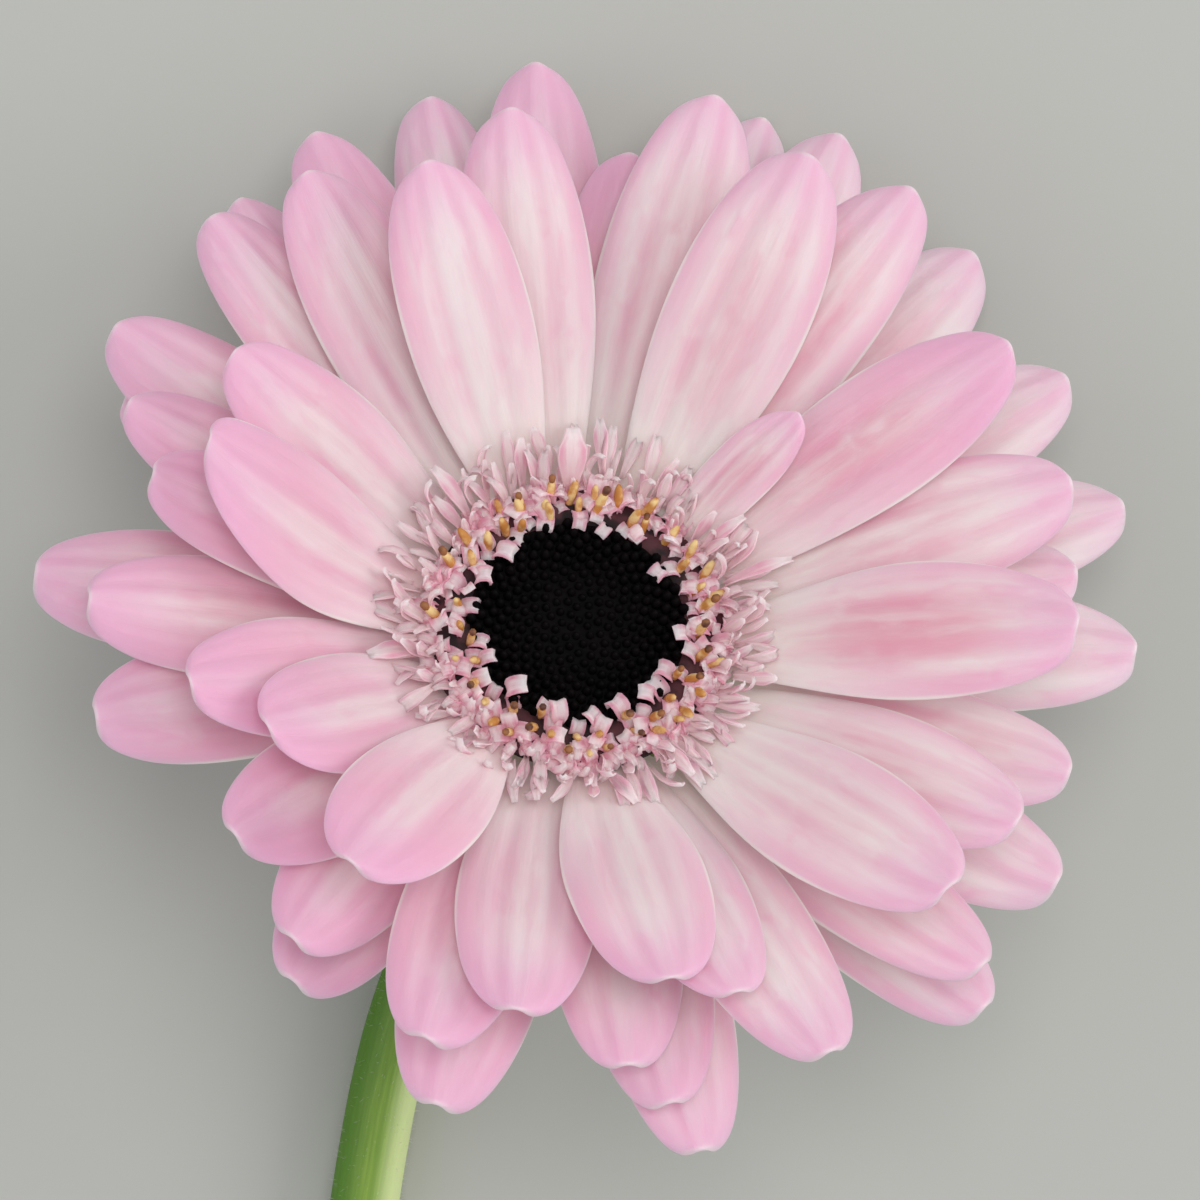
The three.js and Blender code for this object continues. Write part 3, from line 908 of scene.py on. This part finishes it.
# Painted light and shade: one side of the stem is drawn pale yellow-green as if lit, and the side across
# from it dark green as if shaded.
stem_painted_light_side = sum_node(stem_tree, "COSINE", sum_node(stem_tree, "MULTIPLY", stem_split.outputs[0], math.tau))
stem_colour = blend_colours(
    stem_tree, sum_node(stem_tree, "MULTIPLY", ramp_between(stem_tree, stem_painted_light_side, 0.1, 0.9), 0.8),
    stem_colour, srgb(228, 240, 176),
)
stem_colour = blend_colours(
    stem_tree, sum_node(stem_tree, "MULTIPLY", ramp_between(stem_tree, stem_painted_light_side, 0.05, -0.8), 0.85),
    stem_colour, srgb(70, 122, 4),
)
skin_share = ramp_between(stem_tree, stem_split.outputs[1], -0.30, -0.05)
pith_share = sum_node(stem_tree, "SUBTRACT", 1.0, skin_share)
stem_colour = blend_colours(stem_tree, pith_share, stem_colour, srgb(206, 214, 158))
stem_tree.links.new(stem_colour, stem_shader.inputs["Base Color"])
stem_tree.links.new(bump_node(stem_tree, ribs, 0.3, 0.0003), stem_shader.inputs["Normal"])
stem_shader.inputs["Subsurface Weight"].default_value = 0.25
stem_shader.inputs["Subsurface Radius"].default_value = (0.5, 1.0, 0.25)
stem_shader.inputs["Subsurface Scale"].default_value = 0.0012

STEM_SIDES = 48
STEM_RINGS = 200
STEM_RIBS = 11
STEM_MAP_LENGTH = 0.1  # metres of stem to one unit of its map
CUT_SINK = 0.25 * MM  # how far the pith sinks in the cut end
HAIRS = 4200


CAP_EDGES = 10  # the middle of an end face has at least this many edges
RING_VERTICES = 6  # and a ring of the stem at least this many corners


def stem_rings():
    """The CAD stem's rings of vertices from the cut end to the head, by walking from the
    middle of the cut face from neighbour to neighbour."""
    bm = merged_copy("stem")
    caps = [v for v in bm.verts if len(v.link_edges) >= CAP_EDGES]
    start = min(caps, key=lambda v: v.co.y)
    seen, ring, rings = {start}, [start], []
    while ring:
        ring = [e.other_vert(v) for v in ring for e in v.link_edges]
        ring = [v for v in dict.fromkeys(ring) if v not in seen]
        seen.update(ring)
        if len(ring) >= RING_VERTICES:
            rings.append([v.co.copy() for v in ring])
    bm.free()
    return rings


def spline_at(values, share):
    """Catmull-Rom through a list of values, at a share from its first to its last."""
    at = min(share * (len(values) - 1), len(values) - 1.0001)
    i = int(at)
    t = at - i
    p = [values[min(max(i + k, 0), len(values) - 1)] for k in (-1, 0, 1, 2)]
    return (
        p[1] * 2 + (p[2] - p[0]) * t + (p[0] * 2 - p[1] * 5 + p[2] * 4 - p[3]) * t * t
        + (p[1] * 3 - p[0] - p[2] * 3 + p[3]) * t * t * t
    ) * 0.5


cad_rings = stem_rings()
centres = [sum(ring, Vector()) / len(ring) for ring in cad_rings]
radii = [max((p - c).length for p in ring) for ring, c in zip(cad_rings, centres)]
stem_length = sum((b - a).length for a, b in zip(centres, centres[1:]))


def stem_frame(share):
    """A point on the stem's centreline, its direction, and two directions across it."""
    here = spline_at(centres, share)
    ahead, behind = spline_at(centres, min(share + 0.01, 1)), spline_at(centres, max(share - 0.01, 0))
    tangent = (ahead - behind).normalized()
    level = tangent.cross(Vector((0, 0, 1))).normalized()
    return here, tangent, level, level.cross(tangent)


def stem_skin(share, angle):
    """The stem's radius, with its faint ribs."""
    rib = 0.010 * math.sin(STEM_RIBS * angle) + 0.004 * math.sin(2 * STEM_RIBS * angle + 1 + share * 9)
    dent = 0.02 * noise.noise(Vector((math.cos(angle), math.sin(angle), share * 14)))
    return spline_at(radii, share) * (0.985 + rib + dent)


stem_bm = bmesh.new()
stem_map = stem_bm.loops.layers.uv.new("strap")
CUT_INSETS = ((1.0, -0.02), (0.93, -0.05), (0.86, -0.3), (0.5, -0.6))
rows = []
for inset, map_v in reversed(CUT_INSETS):
    here, tangent, level, up = stem_frame(0)
    sunk = tangent * (CUT_SINK * (1 - inset)) if inset < 0.9 else tangent * 0
    rows.append((here + sunk, level, up, 0, inset, map_v))
for i in range(STEM_RINGS + 1):
    share = i / STEM_RINGS
    here, tangent, level, up = stem_frame(share)
    rows.append((here, level, up, share, 1.0, share * stem_length / STEM_MAP_LENGTH))
vert_rows = []
for here, level, up, share, inset, map_v in rows:
    ring = []
    for k in range(STEM_SIDES):
        angle = k / STEM_SIDES * math.tau
        out = level * math.cos(angle) + up * math.sin(angle)
        point = here + out * stem_skin(share, angle) * inset
        point.z = max(point.z, 0.0)
        ring.append(stem_bm.verts.new(point))
    vert_rows.append(ring)
for row, (low, high) in enumerate(zip(vert_rows, vert_rows[1:])):
    for k in range(STEM_SIDES):
        following = (k + 1) % STEM_SIDES
        face = stem_bm.faces.new((low[k], low[following], high[following], high[k]))
        face.smooth = True
        corners = ((k, row), (k + 1, row), (k + 1, row + 1), (k, row + 1))
        for loop, (column, line) in zip(face.loops, corners):
            loop[stem_map].uv = (column / STEM_SIDES, rows[line][5])
for ring, map_v in ((vert_rows[0], -1.0), (vert_rows[-1], rows[-1][5])):
    face = stem_bm.faces.new(ring)
    for loop in face.loops:
        loop[stem_map].uv = (0.5, map_v)
bmesh.ops.recalc_face_normals(stem_bm, faces=stem_bm.faces)
stem_mesh = bpy.data.meshes.new("scape")
stem_bm.to_mesh(stem_mesh)
stem_bm.free()
stem_piece = bpy.data.objects.new("scape", stem_mesh)
scene.collection.objects.link(stem_piece)
stem_mesh.materials.append(stem_material)
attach(stem_piece, "root")
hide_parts("stem")


# ---- Hairs ----
# Short white hairs stand on the stem and the bracts. Each is a three-sided spike.

hair_material, hair_tree, hair_shader = new_material("hairs", 0.7)
hair_place = input_node(hair_tree, "ShaderNodeTexCoord", "Object")
hair_mix = noise_node(hair_tree, hair_place, 500, 2)
hair_colour = blend_colours(hair_tree, hair_mix, srgb(214, 222, 190), srgb(244, 246, 230))
hair_tree.links.new(hair_colour, hair_shader.inputs["Base Color"])

bpy.ops.mesh.primitive_cone_add(vertices=3, radius1=0.028 * MM, radius2=0, depth=1.0 * MM)
hair_template = bpy.context.object
hair_template.data.transform(Matrix.Translation((0, 0, 0.5 * MM)))
hair_template.select_set(False)


def hair_place_at(foot, out, size):
    turn = out.to_track_quat("Z", "Y").to_matrix().to_4x4()
    return Matrix.Translation(foot) @ turn @ Matrix.Scale(size, 4)


rng = random.Random(21)
stem_hairs = Bunch()
for _ in range(HAIRS):
    share = rng.uniform(0.0, 0.985)
    angle = rng.uniform(0, math.tau)
    here, tangent, level, up = stem_frame(share)
    out = level * math.cos(angle) + up * math.sin(angle)
    foot = here + out * stem_skin(share, angle) * 0.99
    lie = (out + tangent * rng.uniform(-0.5, 0.7) + level.cross(out) * rng.uniform(-0.4, 0.4)).normalized()
    size = rng.uniform(0.35, 0.9)
    if foot.z > 0.5 * MM and (foot + lie * size * MM).z > 0.3 * MM:
        stem_hairs.add(hair_template, hair_place_at(foot, lie, size))
stem_hair_piece = stem_hairs.make("scape_hairs", hair_material)
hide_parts("stem")


# ---- Bracts ----
# The green cup under the head: two rows of narrow pointed bracts that overlap and press
# against the back of the outer ray florets, with pale woolly edges.

bract_material, bract_tree, bract_shader = new_material("bract", 0.55)
bract_uv = input_node(bract_tree, "ShaderNodeUVMap", 0, uv_map="strap")
bract_split = bract_tree.nodes.new("ShaderNodeSeparateXYZ")
bract_tree.links.new(bract_uv, bract_split.inputs[0])
bract_side = sum_node(
    bract_tree, "ABSOLUTE", sum_node(bract_tree, "MULTIPLY_ADD", bract_split.outputs[0], 2.0, -1.0)
)
bract_place = input_node(bract_tree, "ShaderNodeTexCoord", "Object")
bract_grain = noise_node(bract_tree, bract_place, 380, 4, 0.6)
bract_colour = blend_colours(
    bract_tree, ramp_between(bract_tree, bract_grain, 0.3, 0.7), srgb(82, 116, 44), srgb(120, 152, 66)
)
bract_edge = ramp_between(bract_tree, bract_side, 0.6, 1.0)
bract_colour = blend_colours(bract_tree, bract_edge, bract_colour, srgb(158, 176, 108))
bract_tip = ramp_between(bract_tree, bract_split.outputs[1], 0.78, 1.0)
bract_colour = blend_colours(bract_tree, bract_tip, bract_colour, srgb(110, 78, 66))
bract_tree.links.new(bract_colour, bract_shader.inputs["Base Color"])
bract_tree.links.new(bump_node(bract_tree, bract_grain, 0.6, 0.0004), bract_shader.inputs["Normal"])


def bract_outline(share):
    return (0.7 + 0.3 * smooth_step(share, 0, 0.4)) * (1 - 0.93 * smooth_step(share, 0.42, 1.05))


BRACT_WALL = 0.55 * MM
BRACT_ROWS = [
    # node, how many, length, width, foot radius, slope and its end in degrees
    ("bracts_inner", 22, 13.2 * MM, 4.4 * MM, 3.7 * MM, 23, 40),
    ("bracts_outer", 19, 10.2 * MM, 3.5 * MM, 3.9 * MM, 25, 34),
]
rng = random.Random(8)
for node, count, length, width, foot_radius, slope, end_slope in BRACT_ROWS:
    template = strap_object(
        "bract_template", length, width, bract_outline, curling(0, end_slope - slope, 1.2),
        BRACT_WALL, trough=-0.12,
    )
    low = height_range(node)[0]
    row = Bunch()
    hairs = Bunch()
    for i in range(count):
        azimuth = (i + rng.uniform(-0.15, 0.15)) / count * math.tau
        place = standing(
            foot_radius, azimuth, low + (0.15 + 0.35 * (i % 2)) * MM,
            math.radians(slope + rng.uniform(-2, 2)),
            roll=rng.uniform(-0.10, 0.10), yaw=rng.uniform(-0.08, 0.08), size=rng.uniform(0.92, 1.08),
        )
        row.add(template, place)
        for v in template.data.vertices:
            if abs(v.co.x) > width * 0.1 and rng.random() < 0.6:
                edge_side = 1 if v.co.x > 0 else -1
                foot = place @ v.co
                lie = Vector((edge_side * 0.8, rng.uniform(0.0, 0.8), rng.uniform(-1.0, 0.1)))
                out = place.to_3x3() @ lie
                hairs.add(hair_template, hair_place_at(foot, out.normalized(), rng.uniform(0.5, 1.1)))
    row_piece = row.make(node + "_row", bract_material)
    hair_piece = hairs.make(node + "_hairs", hair_material)
    for piece in (row_piece, hair_piece):
        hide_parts(node)
    drop_templates(template)
drop_templates(hair_template)


# ---- Receptacle ----
# The fleshy cup that all the florets stand on. The bracts and florets hide it, and its
# turned shape is right as it is.

flesh_material, flesh_tree, flesh_shader = new_material("receptacle flesh", 0.6)
flesh_place = input_node(flesh_tree, "ShaderNodeTexCoord", "Object")
flesh_mix = ramp_between(flesh_tree, noise_node(flesh_tree, flesh_place, 300, 3), 0.3, 0.7)
flesh_colour = blend_colours(flesh_tree, flesh_mix, srgb(134, 156, 84), srgb(170, 184, 120))
flesh_tree.links.new(flesh_colour, flesh_shader.inputs["Base Color"])
receptacle = nodes["receptacle"]
receptacle.data.materials.clear()
receptacle.data.materials.append(flesh_material)
